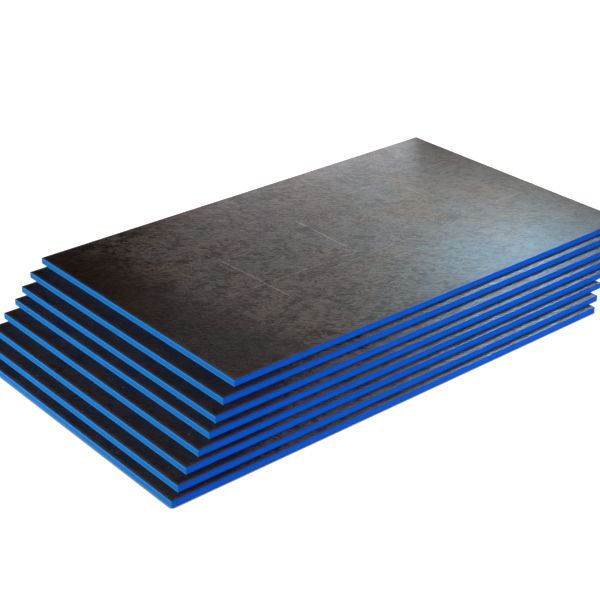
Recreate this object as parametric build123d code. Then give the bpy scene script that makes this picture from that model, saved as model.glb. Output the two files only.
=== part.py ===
"""Stack of film-faced plywood sheets, laid flat on each other in steps.

The origin is the centre of the bottom sheet's underside. +X runs along the sheets,
+Y across them and +Z up. Every sheet lies square to the one below it, set back from
it along +X and +Y, so that a strip of each sheet shows past the sheet above.
"""

from build123d import *

import os
from itertools import accumulate

# One sheet, in millimetres
SHEET_LENGTH = 2500.0
SHEET_WIDTH = 1500.0
SHEET_THICKNESS = 30.0
ARRIS = 1.0  # the sawn corners are taken off at 45 degrees before the edges are painted

# How far each sheet is set back from the one below it, on average
STEP_ALONG = 75.0
STEP_ACROSS = 40.0

# Each set-back as a share of the average, from the second sheet up to the top one
STEP_ALONG_SHARES = (0.74, 0.95, 1.12, 1.10, 0.83, 1.06, 1.23)
STEP_ACROSS_SHARES = (0.86, 1.04, 0.80, 0.94, 0.99, 1.31, 1.09)


def plywood_sheet():
    """One sheet lying flat, centred on its underside, with its arrises taken off all round."""
    blank = Box(
        SHEET_LENGTH,
        SHEET_WIDTH,
        SHEET_THICKNESS,
        align=(Align.CENTER, Align.CENTER, Align.MIN),
    )
    return chamfer(blank.edges(), ARRIS)


def offsets(step, shares):
    """Each sheet's distance from the bottom one, which lies at zero."""
    return accumulate((step * share for share in shares), initial=0.0)


def sheet_places():
    """The centre of each sheet's underside, from the bottom sheet up."""
    along = offsets(STEP_ALONG, STEP_ALONG_SHARES)
    across = offsets(STEP_ACROSS, STEP_ACROSS_SHARES)
    return [
        Pos(x, y, layer * SHEET_THICKNESS)
        for layer, (x, y) in enumerate(zip(along, across, strict=True))
    ]


def main():
    os.makedirs("parts", exist_ok=True)
    sheet = plywood_sheet()
    for number, place in enumerate(sheet_places(), start=1):
        export_step(place * sheet, f"parts/plywood_sheet_{number}.step")


main()
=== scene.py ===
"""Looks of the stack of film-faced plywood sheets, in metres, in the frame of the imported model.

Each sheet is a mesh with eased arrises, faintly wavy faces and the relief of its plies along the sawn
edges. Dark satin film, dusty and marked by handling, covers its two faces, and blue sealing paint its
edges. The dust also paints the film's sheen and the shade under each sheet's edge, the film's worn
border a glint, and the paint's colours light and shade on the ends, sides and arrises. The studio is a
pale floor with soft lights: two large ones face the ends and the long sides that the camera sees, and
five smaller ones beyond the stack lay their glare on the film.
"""

import math

import bpy
from mathutils import Euler, Matrix, Vector, noise


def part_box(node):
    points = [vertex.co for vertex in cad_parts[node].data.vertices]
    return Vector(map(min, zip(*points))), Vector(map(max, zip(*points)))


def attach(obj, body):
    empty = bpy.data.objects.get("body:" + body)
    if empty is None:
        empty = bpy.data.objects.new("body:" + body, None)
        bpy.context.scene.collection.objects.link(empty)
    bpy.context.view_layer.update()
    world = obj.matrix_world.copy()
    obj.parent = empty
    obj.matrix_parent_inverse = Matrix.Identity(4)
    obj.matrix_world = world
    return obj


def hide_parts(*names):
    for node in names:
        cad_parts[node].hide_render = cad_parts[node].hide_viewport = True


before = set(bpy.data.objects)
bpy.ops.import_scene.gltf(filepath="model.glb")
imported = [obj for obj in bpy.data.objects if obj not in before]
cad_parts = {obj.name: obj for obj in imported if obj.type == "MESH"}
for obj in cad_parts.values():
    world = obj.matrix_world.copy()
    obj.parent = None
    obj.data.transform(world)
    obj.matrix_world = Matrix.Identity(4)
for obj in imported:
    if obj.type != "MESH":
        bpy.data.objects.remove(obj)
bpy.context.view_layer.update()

BODY = "root"
MILLIMETRE = 0.001
NOISE_MEAN = 0.5  # the middle of the range of a noise texture

# Camera, from the edges and corners in the photograph
CAMERA_PLACE = Vector((-3.841, -4.551, 3.283))
CAMERA_HEADING = 49.64  # degrees from +X towards +Y
CAMERA_DIP = 27.49  # degrees below the horizon
CAMERA_ROLL = 0.27  # degrees
CAMERA_LENS = 87.34  # millimetres
SENSOR_WIDTH = 36.0  # millimetres

# Mesh of one sheet
PLY_COUNT = 21
GRID_STEP = 20 * MILLIMETRE
ARRIS = 1.0 * MILLIMETRE
ARRIS_STEPS = 4
CORNER_STEPS = 4
LEAST_CORNER = 0.1 * ARRIS  # radius of the corners of the loops inside the arris
RIM = 8 * MILLIMETRE  # a plain border between the arris and the wavy part of a face
FACE_DIP = 0.15 * MILLIMETRE  # how far the faces dip between their high spots
FACE_WAVE = 0.22  # distance between the dips
PLY_RELIEF = 0.14 * MILLIMETRE  # how far end-grain plies stand back from the others
PLY_WANDER = 0.08 * MILLIMETRE
PLY_WAVE = 0.06


def rounded_loop(half_x, half_y, radius, along, across):
    """Points anticlockwise round a rectangle with round corners, `along` and `across` steps on its sides.

    Each item is (x, y, side), where side is 0 on the -Y and +Y sides and 1 on the -X and +X sides, and
    a corner's points run evenly from the one to the other.
    """
    run_x = half_x - radius
    run_y = half_y - radius
    corners = ((run_x, -run_y), (run_x, run_y), (-run_x, run_y), (-run_x, -run_y))
    points = []
    for quarter, (corner_x, corner_y) in enumerate(corners):
        steps = along if quarter % 2 == 0 else across
        start_x, start_y = corners[quarter - 1]
        facing = math.radians(90 * quarter - 90)
        out_x = radius * math.cos(facing)
        out_y = radius * math.sin(facing)
        for step in range(steps + 1):
            share = step / steps
            x = start_x + (corner_x - start_x) * share + out_x
            y = start_y + (corner_y - start_y) * share + out_y
            points.append((x, y, quarter % 2))
        for step in range(1, CORNER_STEPS):
            share = step / CORNER_STEPS
            angle = facing + math.radians(90 * share)
            side = share if quarter % 2 == 0 else 1 - share
            points.append((corner_x + radius * math.cos(angle), corner_y + radius * math.sin(angle), side))
    return points


def ply_inset(x, y, side, ply, shift):
    """How far the painted edge stands back at one point of one ply."""
    end_grain = side if ply % 2 == 0 else 1 - side
    wander = noise.noise(Vector((x, y, ply * PLY_WAVE)) / PLY_WAVE + shift)
    return PLY_RELIEF * end_grain + PLY_WANDER * (1 + wander) / 2


class SheetMesh:
    """Collects the points and faces of one sheet, centred on its underside."""

    def __init__(self, length, width, thickness, shift):
        self.half_x = length / 2
        self.half_y = width / 2
        self.thickness = thickness
        self.shift = shift
        self.along = round(length / GRID_STEP)
        self.across = round(width / GRID_STEP)
        self.points = []
        self.faces = []
        self.is_paint = []

    def add_face(self, corners, paint):
        self.faces.append(corners)
        self.is_paint.append(paint)

    def add_ring(self, inset, height, ply=None):
        """A loop round the sheet, inset from its outline. Returns the indices of its points."""
        radius = max(ARRIS - inset, LEAST_CORNER)
        loop = rounded_loop(self.half_x - inset, self.half_y - inset, radius, self.along, self.across)
        first = len(self.points)
        for x, y, side in loop:
            if ply is not None:
                back = ply_inset(x, y, side, ply, self.shift)
                x -= back * x / self.half_x
                y -= back * y / self.half_y
            self.points.append((x, y, height))
        return list(range(first, len(self.points)))

    def join_rings(self, lower, upper, paint):
        count = len(lower)
        for i in range(count):
            j = (i + 1) % count
            self.add_face((lower[i], lower[j], upper[j], upper[i]), paint)

    def add_grid(self, height, inwards):
        """The wavy part of a face. Returns its points as rows along X, one row for each step of Y."""
        reach_x = self.half_x - RIM
        reach_y = self.half_y - RIM
        rows = []
        for j in range(self.across + 1):
            row = []
            for i in range(self.along + 1):
                x = reach_x * (2 * i / self.along - 1)
                y = reach_y * (2 * j / self.across - 1)
                edge = min(reach_x - abs(x), reach_y - abs(y))
                fade = min(1, edge / FACE_WAVE)
                wave = noise.noise(Vector((x, y, height)) / FACE_WAVE + self.shift)
                row.append(len(self.points))
                self.points.append((x, y, height + inwards * FACE_DIP * fade * (1 + wave) / 2))
            rows.append(row)
        return rows

    def close_face(self, ring, rows, upwards):
        """Fills a grid with faces and joins its border to the ring round it."""
        patches = []
        for low, high in zip(rows, rows[1:]):
            for i in range(self.along):
                patches.append((low[i], low[i + 1], high[i + 1], high[i]))
        right = [row[-1] for row in rows]
        left = [row[0] for row in rows][::-1]
        at = 0
        for side in (rows[0], right, rows[-1][::-1], left):
            for i in range(len(side) - 1):
                patches.append((ring[at + i], ring[at + i + 1], side[i + 1], side[i]))
            at += len(side) - 1
            for step in range(CORNER_STEPS):
                after = (at + 1) % len(ring)
                patches.append((ring[at], ring[after], side[-1]))
                at += 1
        for corners in patches:
            self.add_face(corners if upwards else corners[::-1], False)

    def build(self):
        """Rings from the underside up round the edges, then the two faces."""
        top = self.thickness
        rings = [self.add_ring(RIM / 2, 0), self.add_ring(ARRIS, 0)]
        paint_after = len(rings)
        for step in range(1, ARRIS_STEPS + 1):
            angle = math.radians(90 * step / ARRIS_STEPS)
            rings.append(self.add_ring(ARRIS * (1 - math.sin(angle)), ARRIS * (1 - math.cos(angle))))
        for ply in range(1, PLY_COUNT - 1):
            rings.append(self.add_ring(0, top * (ply + 0.5) / PLY_COUNT, ply))
        for step in range(ARRIS_STEPS + 1):
            angle = math.radians(90 * step / ARRIS_STEPS)
            rings.append(self.add_ring(ARRIS * (1 - math.cos(angle)), top - ARRIS * (1 - math.sin(angle))))
        paint_before = len(rings)
        rings.append(self.add_ring(RIM / 2, top))
        for index, (lower, upper) in enumerate(zip(rings, rings[1:]), start=1):
            self.join_rings(lower, upper, paint_after <= index < paint_before)
        self.close_face(rings[-1], self.add_grid(top, -1), True)
        self.close_face(rings[0], self.add_grid(0, 1), False)


class Nodes:
    """Short calls for building a node tree. Each adds a node and returns its output."""

    def __init__(self, tree):
        self.tree = tree
        tree.nodes.clear()

    def add(self, kind, inputs, output=0, **settings):
        node = self.tree.nodes.new(kind)
        for name, value in settings.items():
            setattr(node, name, value)
        for key, value in inputs.items():
            if isinstance(value, bpy.types.NodeSocket):
                self.tree.links.new(value, node.inputs[key])
            else:
                node.inputs[key].default_value = value
        return node.outputs[output] if node.outputs else node

    def math(self, operation, *values):
        return self.add("ShaderNodeMath", dict(enumerate(values)), operation=operation)

    def vector(self, operation, *values, output=0):
        return self.add("ShaderNodeVectorMath", dict(enumerate(values)), output, operation=operation)

    def noise(self, vector, scale, detail, roughness, distortion):
        inputs = {"Vector": vector, "Scale": scale, "Detail": detail, "Roughness": roughness}
        inputs["Distortion"] = distortion
        return self.add("ShaderNodeTexNoise", inputs)

    def ease(self, value, low, high, start=0.0, end=1.0):
        """Runs smoothly from start at low to end at high."""
        inputs = {0: value, 1: low, 2: high, 3: start, 4: end}
        return self.add("ShaderNodeMapRange", inputs, interpolation_type="SMOOTHSTEP")

    def mix(self, share, first, second):
        return self.add("ShaderNodeMix", {0: share, 6: first, 7: second}, 2, data_type="RGBA")

    def weigh(self, *terms):
        """The sum of values times their weights."""
        total = 0.0
        for value, weight in terms:
            total = self.add("ShaderNodeMath", {0: value, 1: weight, 2: total}, operation="MULTIPLY_ADD")
        return total

    def attribute(self, name):
        """A vector that each object carries under this name."""
        settings = {"attribute_type": "OBJECT", "attribute_name": name}
        return self.add("ShaderNodeAttribute", {}, "Vector", **settings)

    def openness(self, reach):
        """1 where nothing stands within reach above the surface, less where something does."""
        return self.add("ShaderNodeAmbientOcclusion", {"Distance": reach}, "AO")

    def bump(self, height):
        """Relief, from a height in millimetres."""
        inputs = {"Height": height, "Strength": 1.0, "Distance": MILLIMETRE}
        return self.add("ShaderNodeBump", inputs)


def new_material(name):
    """A material with an empty node tree."""
    material = bpy.data.materials.new(name)
    material.use_nodes = True
    return material, Nodes(material.node_tree)


def sheet_coordinates(nodes):
    """A sheet's own coordinates, and the same moved by the sheet's own shift, so that no two look alike."""
    place = nodes.add("ShaderNodeTexCoord", {}, "Object")
    return place, nodes.vector("ADD", place, nodes.attribute("shift"))


LINE_CORE_SHARE = 0.2  # the part of a line's or speck's reach that has its full strength


def near_line(nodes, place, start, end, reach):
    """1 on the straight line between two points of a face, running smoothly to 0 at `reach` from it."""
    start = Vector((*start, 0))
    run = Vector((*end, 0)) - start
    offset = nodes.vector("SUBTRACT", place, start)
    share = nodes.vector("DOT_PRODUCT", offset, run / run.length_squared, output=1)
    share = nodes.add("ShaderNodeClamp", {0: share})
    gap = nodes.vector("DISTANCE", offset, nodes.vector("MULTIPLY", run, share), output=1)
    return nodes.ease(gap, reach, LINE_CORE_SHARE * reach)


# Film on the faces: colours where it is clean, worn, dusty and scratched; the dust colours also paint the
# film's sheen, and the worn colour a glint along the edges
FILM_BROWN = (0.0055, 0.0028, 0.0017, 1)
FILM_BROWN_PALE = (0.024, 0.0135, 0.0085, 1)
FILM_SLATE = (0.0028, 0.0023, 0.0022, 1)
FILM_SLATE_PALE = (0.0090, 0.0088, 0.0090, 1)
# Worn film, which also paints the glint along the film's edge
FILM_WORN_GLINT = (0.060, 0.038, 0.025, 1)
FILM_DUST_SHEEN_BROWN = (0.102, 0.076, 0.062, 1)
FILM_DUST_SHEEN_SLATE = (0.084, 0.077, 0.075, 1)
FILM_SCRATCH = (0.34, 0.30, 0.27, 1)
FILM_SPECULAR = 0.56
FILM_SHEEN_TINT = (1.0, 0.66, 0.5, 1)
FILM_ROUGHNESS = 0.5
LIGHT_ROUGHNESS = -0.06  # added where the film is light, cloudy or marked
CLOUD_ROUGHNESS = 0.1
MARK_ROUGHNESS = 0.1

# Textures of the film: features in a metre, octaves, roughness and distortion
STROKE = (115.0, 3.5, 0.75, 0.5)
WRINKLE = (44.0, 2.0, 0.6, 1.5)
CREASE = (60.0, 2.0, 0.5, 2.0)
LEATHER = (24.0, 4.0, 0.65, 1.2)
MOTTLE = (8.0, 4.0, 0.6, 0.6)
CLOUD = (4.5, 3.0, 0.55, 0.0)

# How strokes and wrinkles run on the sheet
STROKE_HEADING = math.radians(-40)  # from the sheet's length
STROKE_STRETCH = 3.4
SWAY_SCALE = 6.0
STROKE_SWAY = (0.16, 0.16, 0)  # metres

# Each texture's weight in the film's tone, and its height in millimetres
STROKE_TONE = 0.75
LEATHER_TONE = 0.24
MOTTLE_TONE = 0.28
CREASE_TONE = 0.3
STROKE_HEIGHT = 1.6
LEATHER_HEIGHT = 1.6
MOTTLE_HEIGHT = 2.0
CREASE_HEIGHT = 0.9
LIGHT_TONES = (0.565, 0.67)  # where the tone turns from dark to light
CREASED_NOISE = (0.4, 0.6)
BROWN_CLOUDS = (0.4, 0.6)  # where the clouds turn from slate to brown
BROWN_DRIFT = -0.07  # how fast the brown gives way to slate, for each metre along the sheet
WRINKLE_WIDTH = 0.04  # how far the wrinkles' noise is from its mean where a wrinkle ends
WRINKLE_LIGHT = 0.1  # how much of the light tone is left in a wrinkle

# Dust, which also paints the film's sheen rising from the dark end along the sheet, and is left off under
# the next sheet's edge as painted shade; in metres from the middle along the sheet
# Where the dust, and with it the painted sheen, starts at the dark end, and where it is full
SHEEN_DARK_END = -1.12
DUST_SHEEN_FROM = -0.76
EVEN_DUST_SHEEN_END = 0.8  # from here on the dust and the painted sheen lie most evenly
EVEN_BARE_SHARE = 0.55  # how bare the dark strokes are there
END_SLANT = 0.12  # how far the dark end slants, for each metre across the sheet
PAINTED_SHADE_REACH = 11 * MILLIMETRE  # how near the next sheet's edge the dust is left off, as painted shade
PAINTED_SHADE_TO_OPEN = (0.5, 0.8)  # openness where the dust starts, and where all of it lies, so that the film is painted darker under the next sheet's edge

# Straight marks that handling has left on a face: start, end, strength, in metres from its middle
MARK_REACH = 5 * MILLIMETRE
MARK_WANDER = (0.1, 0.1, 0)  # share of the strokes' sway
MARKS = (
    ((-0.680, 0.195), (-0.610, 0.194), 0.9),
    ((-0.610, 0.194), (-0.590, -0.310), 0.8),
    ((-0.810, -0.140), (-0.050, -0.165), 0.5),
    ((-0.040, 0.300), (-0.040, -0.100), 0.8),
    ((0.690, 0.250), (0.690, 0.090), 0.5),
    ((-0.200, 0.690), (-0.195, 0.550), 0.45),
    ((-0.150, 0.690), (-0.150, 0.560), 0.4),
    ((0.330, 0.690), (0.330, 0.490), 0.45),
    ((0.390, 0.390), (0.550, 0.390), 0.5),
    ((0.930, -0.180), (1.110, -0.180), 0.45),
    ((0.980, 0.380), (1.110, 0.380), 0.45),
    ((-0.230, -0.220), (0.300, -0.220), 0.35),
    ((-0.230, -0.330), (0.300, -0.330), 0.35),
    ((-0.350, 0.570), (-0.290, 0.500), 0.5),
    ((-0.270, -0.640), (-0.230, -0.650), 0.5),
)
BROKEN_LEATHER = (0.38, 0.6)  # where the leather breaks the marks up
BROKEN_STRENGTH = (0.15, 0.9)
SPECKS_APART = 0.33
SPECK_REACH = 4 * MILLIMETRE
SPECK_STRENGTH = 0.6

# Crumpled spots in the film: start, end and reach, in metres from the middle of the face
CRUMPLES = (
    ((0.020, 0.290), (0.090, 0.250), 0.050),
    ((0.550, -0.150), (0.640, -0.190), 0.055),
    ((0.200, 0.060), (0.270, 0.040), 0.045),
    ((-0.900, -0.440), (-0.840, -0.460), 0.050),
)

# Wear along the edges of a face, lighter, which also paints the glint the film's edge catches
WEAR_GLINT_RAGGED = 20 * MILLIMETRE
WEAR_GLINT_START = 30 * MILLIMETRE
WEAR_GLINT_FULL = 14 * MILLIMETRE
WEAR_GLINT_STRENGTH = 0.85


def film_sway(nodes, lot):
    """How far the strokes stray sideways from place to place, in metres."""
    sway = nodes.add("ShaderNodeTexNoise", {"Vector": lot, "Scale": SWAY_SCALE}, 1)
    sway = nodes.vector("SUBTRACT", sway, (NOISE_MEAN, NOISE_MEAN, NOISE_MEAN))
    return nodes.vector("MULTIPLY", sway, STROKE_SWAY)


def brushed_coordinates(nodes, lot, sway):
    """Coordinates that are stretched along the strokes and sway with them."""
    return nodes.add("ShaderNodeMapping", {
        "Vector": nodes.vector("ADD", lot, sway),
        "Rotation": (0, 0, STROKE_HEADING),
        "Scale": (STROKE_STRETCH, 1, 1),
    }, vector_type="TEXTURE")


def film_creases(nodes, lot, face):
    """Creases from -1 to 1 in the crumpled spots, and 0 elsewhere."""
    crumpled = 0.0
    for start, end, reach in CRUMPLES:
        crumpled = nodes.math("MAXIMUM", near_line(nodes, face, start, end, reach), crumpled)
    crease = nodes.noise(lot, *CREASE)
    return nodes.math("MULTIPLY", crumpled, nodes.ease(crease, *CREASED_NOISE, -1.0, 1.0))


def film_dust_and_painted_light(nodes, parts, light):
    """Dust in the light strokes, and more evenly towards one end, which paints the sheen rising along the
    sheet; it is left off under the next sheet's edge, which paints the shade there.
    """
    # The dust thickens from the dark end along the sheet, painting the film's sheen.
    along = nodes.weigh((parts[0], 1.0), (parts[1], END_SLANT))
    bare = nodes.ease(along, DUST_SHEEN_FROM, EVEN_DUST_SHEEN_END, 1.0, EVEN_BARE_SHARE)
    bare = nodes.math("MULTIPLY", nodes.math("SUBTRACT", 1.0, light), bare)
    dust_sheen_share = nodes.math("SUBTRACT", nodes.ease(along, SHEEN_DARK_END, DUST_SHEEN_FROM), bare)
    dust_sheen_share = nodes.math("MAXIMUM", dust_sheen_share, 0.0)
    # Leaving the dust off close under the next sheet's edge paints the shade that falls there.
    return nodes.math("MULTIPLY", dust_sheen_share, nodes.ease(nodes.openness(PAINTED_SHADE_REACH), *PAINTED_SHADE_TO_OPEN))


def film_marks(nodes, lot, face, leather):
    """Straight marks, broken up by the film's leather, and round specks."""
    marked = 0.0
    for start, end, strength in MARKS:
        line = nodes.math("MULTIPLY", near_line(nodes, face, start, end, MARK_REACH), strength)
        marked = nodes.math("MAXIMUM", line, marked)
    marked = nodes.math("MULTIPLY", marked, nodes.ease(leather, *BROKEN_LEATHER, *BROKEN_STRENGTH))
    inputs = {"Vector": lot, "Scale": 1 / SPECKS_APART}
    speck = nodes.add("ShaderNodeTexVoronoi", inputs, "Distance", voronoi_dimensions="2D")
    reach = SPECK_REACH / SPECKS_APART
    speck = nodes.ease(speck, reach, LINE_CORE_SHARE * reach, 0.0, SPECK_STRENGTH)
    return nodes.math("MAXIMUM", marked, speck)


def film_wear_and_glint(nodes, parts, half_x, half_y, leather):
    """A ragged worn border along the edges of the face, lighter, partly a painted glint of the film's edge.
    """
    gap_x = nodes.math("SUBTRACT", half_x, nodes.math("ABSOLUTE", parts[0]))
    gap_y = nodes.math("SUBTRACT", half_y, nodes.math("ABSOLUTE", parts[1]))
    edge = nodes.math("MINIMUM", gap_x, gap_y)
    ragged = nodes.weigh((edge, 1.0), (leather, WEAR_GLINT_RAGGED))
    return nodes.ease(ragged, WEAR_GLINT_START, WEAR_GLINT_FULL, 0.0, WEAR_GLINT_STRENGTH)


def film_material(half_x, half_y):
    """Dark phenolic film: satin, finely stroked and wrinkled, dusty, marked and worn at its edges, with the
    sheen and the shade under the next sheet painted into its dust and a glint painted into its worn edges.
    """
    material, nodes = new_material("phenolic_film")
    place, lot = sheet_coordinates(nodes)
    parts = nodes.add("ShaderNodeSeparateXYZ", {0: place}).node.outputs
    sway = film_sway(nodes, lot)
    brushed = brushed_coordinates(nodes, lot, sway)
    face = nodes.vector("MULTIPLY", place, nodes.attribute("turn"))
    face = nodes.vector("ADD", face, nodes.vector("MULTIPLY", sway, MARK_WANDER))

    # Light and dark, from strokes, leather, mottle, creases and wrinkles
    stroke = nodes.noise(brushed, *STROKE)
    leather = nodes.noise(lot, *LEATHER)
    mottle = nodes.noise(lot, *MOTTLE)
    creased = film_creases(nodes, lot, face)
    tone = nodes.weigh(
        (stroke, STROKE_TONE),
        (leather, LEATHER_TONE),
        (mottle, MOTTLE_TONE),
        (creased, CREASE_TONE),
    )
    wrinkle = nodes.math("SUBTRACT", nodes.noise(brushed, *WRINKLE), NOISE_MEAN)
    wrinkle = nodes.ease(nodes.math("ABSOLUTE", wrinkle), 0.0, WRINKLE_WIDTH, WRINKLE_LIGHT, 1.0)
    light = nodes.math("MULTIPLY", nodes.ease(tone, *LIGHT_TONES), wrinkle)

    # Brown and slate, from clouds
    cloud = nodes.noise(lot, *CLOUD)
    brown = nodes.ease(nodes.weigh((cloud, 1.0), (parts[0], BROWN_DRIFT)), *BROWN_CLOUDS)
    dark = nodes.mix(brown, FILM_SLATE, FILM_BROWN)
    pale = nodes.mix(brown, FILM_SLATE_PALE, FILM_BROWN_PALE)
    colour = nodes.mix(light, dark, pale)

    # What use has left on the film: dust, which also paints its sheen and the shade under the next sheet,
    # marks, and wear, which also paints a glint along its edges
    # Dust colours that also paint the film's sheen.
    dust_sheen_colour = nodes.mix(brown, FILM_DUST_SHEEN_SLATE, FILM_DUST_SHEEN_BROWN)
    colour = nodes.mix(film_dust_and_painted_light(nodes, parts, light), colour, dust_sheen_colour)
    marked = film_marks(nodes, lot, face, leather)
    colour = nodes.mix(marked, colour, FILM_SCRATCH)
    # Wear, with a painted glint, along the edges.
    colour = nodes.mix(film_wear_and_glint(nodes, parts, half_x, half_y, leather), colour, FILM_WORN_GLINT)

    roughness = nodes.weigh((light, LIGHT_ROUGHNESS), (cloud, CLOUD_ROUGHNESS), (marked, MARK_ROUGHNESS))
    height = nodes.weigh(
        (stroke, STROKE_HEIGHT),
        (leather, LEATHER_HEIGHT),
        (mottle, MOTTLE_HEIGHT),
        (creased, CREASE_HEIGHT),
    )
    shader = nodes.add("ShaderNodeBsdfPrincipled", {
        "Base Color": colour,
        "Roughness": nodes.math("ADD", roughness, FILM_ROUGHNESS),
        "Specular IOR Level": FILM_SPECULAR,
        "Specular Tint": FILM_SHEEN_TINT,
        "Normal": nodes.bump(height),
    })
    nodes.add("ShaderNodeOutputMaterial", {"Surface": shader})
    return material


# Paint on the edges: one paint, lighter on the ends as painted light and deeper on the long sides as
# painted shade
PAINT_END_LIT = (0.001, 0.165, 0.58, 1)
PAINT_END_LIT_DEEP = (0.001, 0.148, 0.52, 1)
# The ends' arris blue is a painted highlight.
PAINT_END_ARRIS_HIGHLIGHT = (0.030, 0.205, 0.60, 1)
PAINT_SIDE_SHADED = (0.0005, 0.112, 0.675, 1)
PAINT_SIDE_SHADED_DEEP = (0.0005, 0.099, 0.60, 1)
# The sides' arris blue is painted shade.
PAINT_SIDE_ARRIS_SHADE = (0.0005, 0.072, 0.42, 1)
PAINT_ROUGHNESS = 0.5
PAINT_SPECULAR = 0.08

# Textures of the paint: features in a metre, octaves, roughness and distortion
PATCHES = (14.0, 4.0, 0.6, 0.0)
GRAIN = (140.0, 3.0, 0.6, 0.0)
GRAIN_SQUEEZE = (1, 1, 6)  # the grain is finer up the edge than along it

# Each texture's weight in the paint's tone, and its height in millimetres
PATCH_TONE = 0.55
GRAIN_TONE = 0.35
PLY_TONE = 0.05
PATCH_HEIGHT = 0.1
GRAIN_HEIGHT = 0.12
PLY_HEIGHT = 0.02
DEEP_TONES = (0.3, 0.65)

# Arrises near the top and bottom: a painted highlight on the ends and painted shade on the sides, broken up
# in patches
ARRIS_SHADING_FULL = 2 * MILLIMETRE
UPPER_ARRIS_SHADING_REACH = 9 * MILLIMETRE
LOWER_ARRIS_SHADING_REACH = 8 * MILLIMETRE
LOWER_ARRIS_SHADING = 0.9
ARRIS_SHADING_PATCHES = (0.3, 0.5)
ARRIS_SHADING_STRENGTH = (0.6, 1.0)


def paint_material(half_x, thickness):
    """Blue edge-sealing paint: patchy, lighter on the ends as painted light and deeper on the sides as
    painted shade, with a painted highlight on the ends' arrises and painted shade on the sides'.
    """
    material, nodes = new_material("edge_paint")
    place, lot = sheet_coordinates(nodes)
    parts = nodes.add("ShaderNodeSeparateXYZ", {0: place}).node.outputs
    patch = nodes.noise(lot, *PATCHES)
    grain = nodes.noise(nodes.vector("MULTIPLY", lot, GRAIN_SQUEEZE), *GRAIN)
    ply = nodes.math("SINE", nodes.math("MULTIPLY", parts[2], math.pi * PLY_COUNT / thickness))
    tone = nodes.weigh((patch, PATCH_TONE), (grain, GRAIN_TONE), (ply, PLY_TONE))
    deep = nodes.ease(tone, *DEEP_TONES)
    end = nodes.math("GREATER_THAN", nodes.math("ABSOLUTE", parts[0]), half_x - 2 * ARRIS)
    # One paint: the ends' lighter blue is painted light, the sides' deeper blue painted shade.
    sides = nodes.mix(deep, PAINT_SIDE_SHADED, PAINT_SIDE_SHADED_DEEP)
    colour = nodes.mix(end, sides, nodes.mix(deep, PAINT_END_LIT, PAINT_END_LIT_DEEP))

    # Painted highlight on the ends' arrises and painted shade on the sides', in patches.
    upper = nodes.ease(parts[2], thickness - UPPER_ARRIS_SHADING_REACH, thickness - ARRIS_SHADING_FULL)
    lower = nodes.ease(parts[2], LOWER_ARRIS_SHADING_REACH, ARRIS_SHADING_FULL, 0.0, LOWER_ARRIS_SHADING)
    arris_shading = nodes.ease(patch, *ARRIS_SHADING_PATCHES, *ARRIS_SHADING_STRENGTH)
    arris_shading = nodes.math("MULTIPLY", nodes.math("MAXIMUM", upper, lower), arris_shading)
    colour = nodes.mix(arris_shading, colour, nodes.mix(end, PAINT_SIDE_ARRIS_SHADE, PAINT_END_ARRIS_HIGHLIGHT))

    height = nodes.weigh((grain, GRAIN_HEIGHT), (patch, PATCH_HEIGHT), (ply, PLY_HEIGHT))
    shader = nodes.add("ShaderNodeBsdfPrincipled", {
        "Base Color": colour,
        "Roughness": PAINT_ROUGHNESS,
        "Specular IOR Level": PAINT_SPECULAR,
        "Normal": nodes.bump(height),
    })
    nodes.add("ShaderNodeOutputMaterial", {"Surface": shader})
    return material


# How far each sheet's textures are moved from those of the one below
SHEET_SHIFT = Vector((7.3, 3.1, 5.9))

# How each sheet's marks are turned about its middle, so that no two neighbours show the same ones
TURNS = ((1.0, 1.0, 0.0), (-1.0, -1.0, 0.0), (1.0, -1.0, 0.0), (-1.0, 1.0, 0.0))


def make_sheets():
    """One detailed mesh for each packed sheet, in its place."""
    names = sorted(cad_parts)
    low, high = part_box(names[0])
    length, width, thickness = high - low
    film = film_material(length / 2, width / 2)
    paint = paint_material(length / 2, thickness)
    for number, name in enumerate(names, start=1):
        low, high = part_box(name)
        shift = SHEET_SHIFT * number
        sheet = SheetMesh(length, width, thickness, shift)
        sheet.build()
        mesh = bpy.data.meshes.new(f"film_faced_sheet_{number}")
        mesh.from_pydata(sheet.points, [], sheet.faces)
        mesh.materials.append(film)
        mesh.materials.append(paint)
        mesh.polygons.foreach_set("material_index", sheet.is_paint)
        mesh.shade_smooth()
        piece = bpy.data.objects.new(mesh.name, mesh)
        piece.location = ((low.x + high.x) / 2, (low.y + high.y) / 2, low.z)
        piece["shift"] = list(shift)
        piece["turn"] = list(TURNS[number % len(TURNS)])
        bpy.context.scene.collection.objects.link(piece)
        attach(piece, BODY)
        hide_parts(name)


# Studio
FLOOR_REACH = 40.0
FLOOR_DROP = 0.2 * MILLIMETRE
FLOOR_COLOUR = (0.3, 0.3, 0.3, 1)
FLOOR_WHITE = 0.94  # what the floor adds to its lit colour in the camera's view
CONTACT_REACH = 14 * MILLIMETRE  # how far the shadow close under the stack spreads
CONTACT_TO_OPEN = (0.6, 0.95)  # openness where the white starts, and where it is full
AMBIENT = 0.5  # the world's level on matt surfaces
SURROUND = 0.02  # the world's level in the gloss


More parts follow.
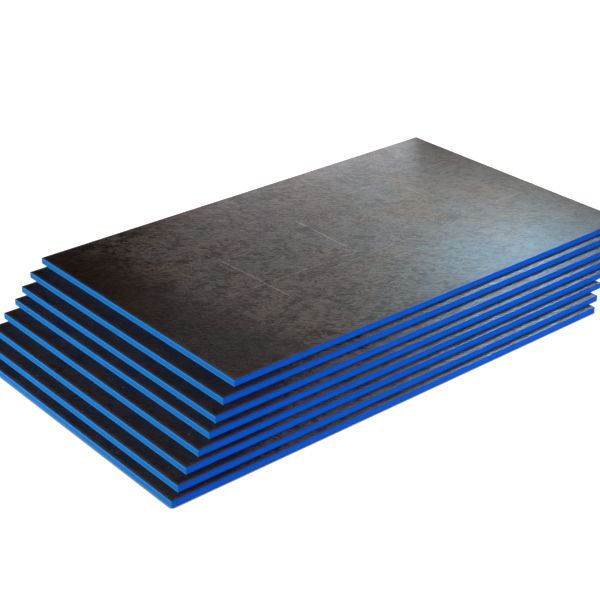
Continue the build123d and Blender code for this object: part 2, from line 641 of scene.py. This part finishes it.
def make_floor():
    """A pale floor that shows white where nothing shades it."""
    mesh = bpy.data.meshes.new("floor")
    corners = []
    for x, y in ((-1, -1), (1, -1), (1, 1), (-1, 1)):
        corners.append((x * FLOOR_REACH, y * FLOOR_REACH, -FLOOR_DROP))
    mesh.from_pydata(corners, [], [(0, 1, 2, 3)])
    floor = bpy.data.objects.new("floor", mesh)
    bpy.context.scene.collection.objects.link(floor)
    material, nodes = new_material("pale_floor")
    matt = nodes.add("ShaderNodeBsdfDiffuse", {"Color": FLOOR_COLOUR})
    rays = nodes.add("ShaderNodeLightPath", {}).node.outputs
    white = nodes.ease(nodes.openness(CONTACT_REACH), *CONTACT_TO_OPEN, 0.0, FLOOR_WHITE)
    white = nodes.math("MULTIPLY", rays["Is Camera Ray"], white)
    glow = nodes.add("ShaderNodeEmission", {"Strength": white})
    nodes.add("ShaderNodeOutputMaterial", {"Surface": nodes.add("ShaderNodeAddShader", {0: matt, 1: glow})})
    mesh.materials.append(material)


def make_world():
    """White to the camera, a soft even light on matt surfaces and a dim surround in the gloss."""
    world = bpy.data.worlds.new("studio")
    world.use_nodes = True
    nodes = Nodes(world.node_tree)
    rays = nodes.add("ShaderNodeLightPath", {}).node.outputs
    gloss = nodes.math("MAXIMUM", rays["Is Glossy Ray"], rays["Is Transmission Ray"])
    level = nodes.add("ShaderNodeMix", {0: gloss, 2: AMBIENT, 3: SURROUND})
    level = nodes.add("ShaderNodeMix", {0: rays["Is Camera Ray"], 2: level, 3: 1.0})
    background = nodes.add("ShaderNodeBackground", {"Strength": level})
    nodes.add("ShaderNodeOutputWorld", {"Surface": background})
    bpy.context.scene.world = world


def make_light(name, place, target, size, power, colour, beam=180):
    """A soft rectangular light that faces a point. Its beam, in degrees, can be narrowed."""
    light = bpy.data.lights.new(name, "AREA")
    light.shape = "RECTANGLE"
    light.size, light.size_y = size
    light.energy = power
    light.color = colour
    light.spread = math.radians(beam)
    lamp = bpy.data.objects.new(name, light)
    lamp.location = place
    lamp.visible_camera = False
    lamp.rotation_euler = (Vector(target) - Vector(place)).to_track_quat("-Z", "Y").to_euler()
    bpy.context.scene.collection.objects.link(lamp)


def make_lights():
    """Two large lights for the ends and the long sides, and five that lay glare on the film."""
    make_light(
        "key", place=(-4.0, 0.6, 1.0), target=(-0.6, 0, 0.1), size=(2.0, 1.4),
        power=117, colour=(1.0, 0.98, 0.90),
    )
    make_light(
        "fill", place=(0.6, -4.6, 1.9), target=(0.4, -0.6, 0.1), size=(2.4, 1.4),
        power=152, colour=(0.80, 0.86, 1.0),
    )
    make_light(
        "side_softbox", place=(2.59, 0.77, 2.30), target=(1.2, 0.1, 0.2), size=(1.0, 0.75),
        power=9.6, colour=(0.71, 0.94, 1.0), beam=50,
    )
    make_light(
        "glare_softbox", place=(2.45, 0.60, 2.20), target=(0.99, -0.65, 0.15), size=(0.8, 0.6),
        power=3.5, colour=(0.12, 0.55, 1.0), beam=27,
    )
    make_light(
        "low_softbox", place=(2.88, 1.78, 1.03), target=(0.26, 0.14, 0.2), size=(1.0, 0.75),
        power=2, colour=(1.0, 0.80, 0.97),
    )
    make_light(
        "back_strip", place=(1.20, 1.80, 0.50), target=(0.26, 0.14, 0.2), size=(1.2, 0.4),
        power=2.2, colour=(1.0, 0.78, 0.75),
    )
    make_light(
        "near_strip", place=(1.30, 1.55, 0.40), target=(0.30, 0.50, 0.2), size=(1.4, 0.25),
        power=4.8, colour=(0.76, 0.89, 1.0),
    )


def make_camera():
    """A camera at the photograph's viewing angle."""
    camera = bpy.data.cameras.new("camera")
    camera.lens = CAMERA_LENS
    camera.sensor_width = SENSOR_WIDTH
    stand = bpy.data.objects.new("camera", camera)
    turn = Euler((math.radians(90 - CAMERA_DIP), 0, math.radians(CAMERA_HEADING - 90))).to_matrix()
    roll = Matrix.Rotation(math.radians(CAMERA_ROLL), 3, "Z")
    stand.matrix_world = Matrix.Translation(CAMERA_PLACE) @ (turn @ roll).to_4x4()
    bpy.context.scene.collection.objects.link(stand)
    bpy.context.scene.camera = stand


make_sheets()
make_floor()
make_world()
make_lights()
make_camera()
bpy.context.scene.view_settings.view_transform = "Standard"
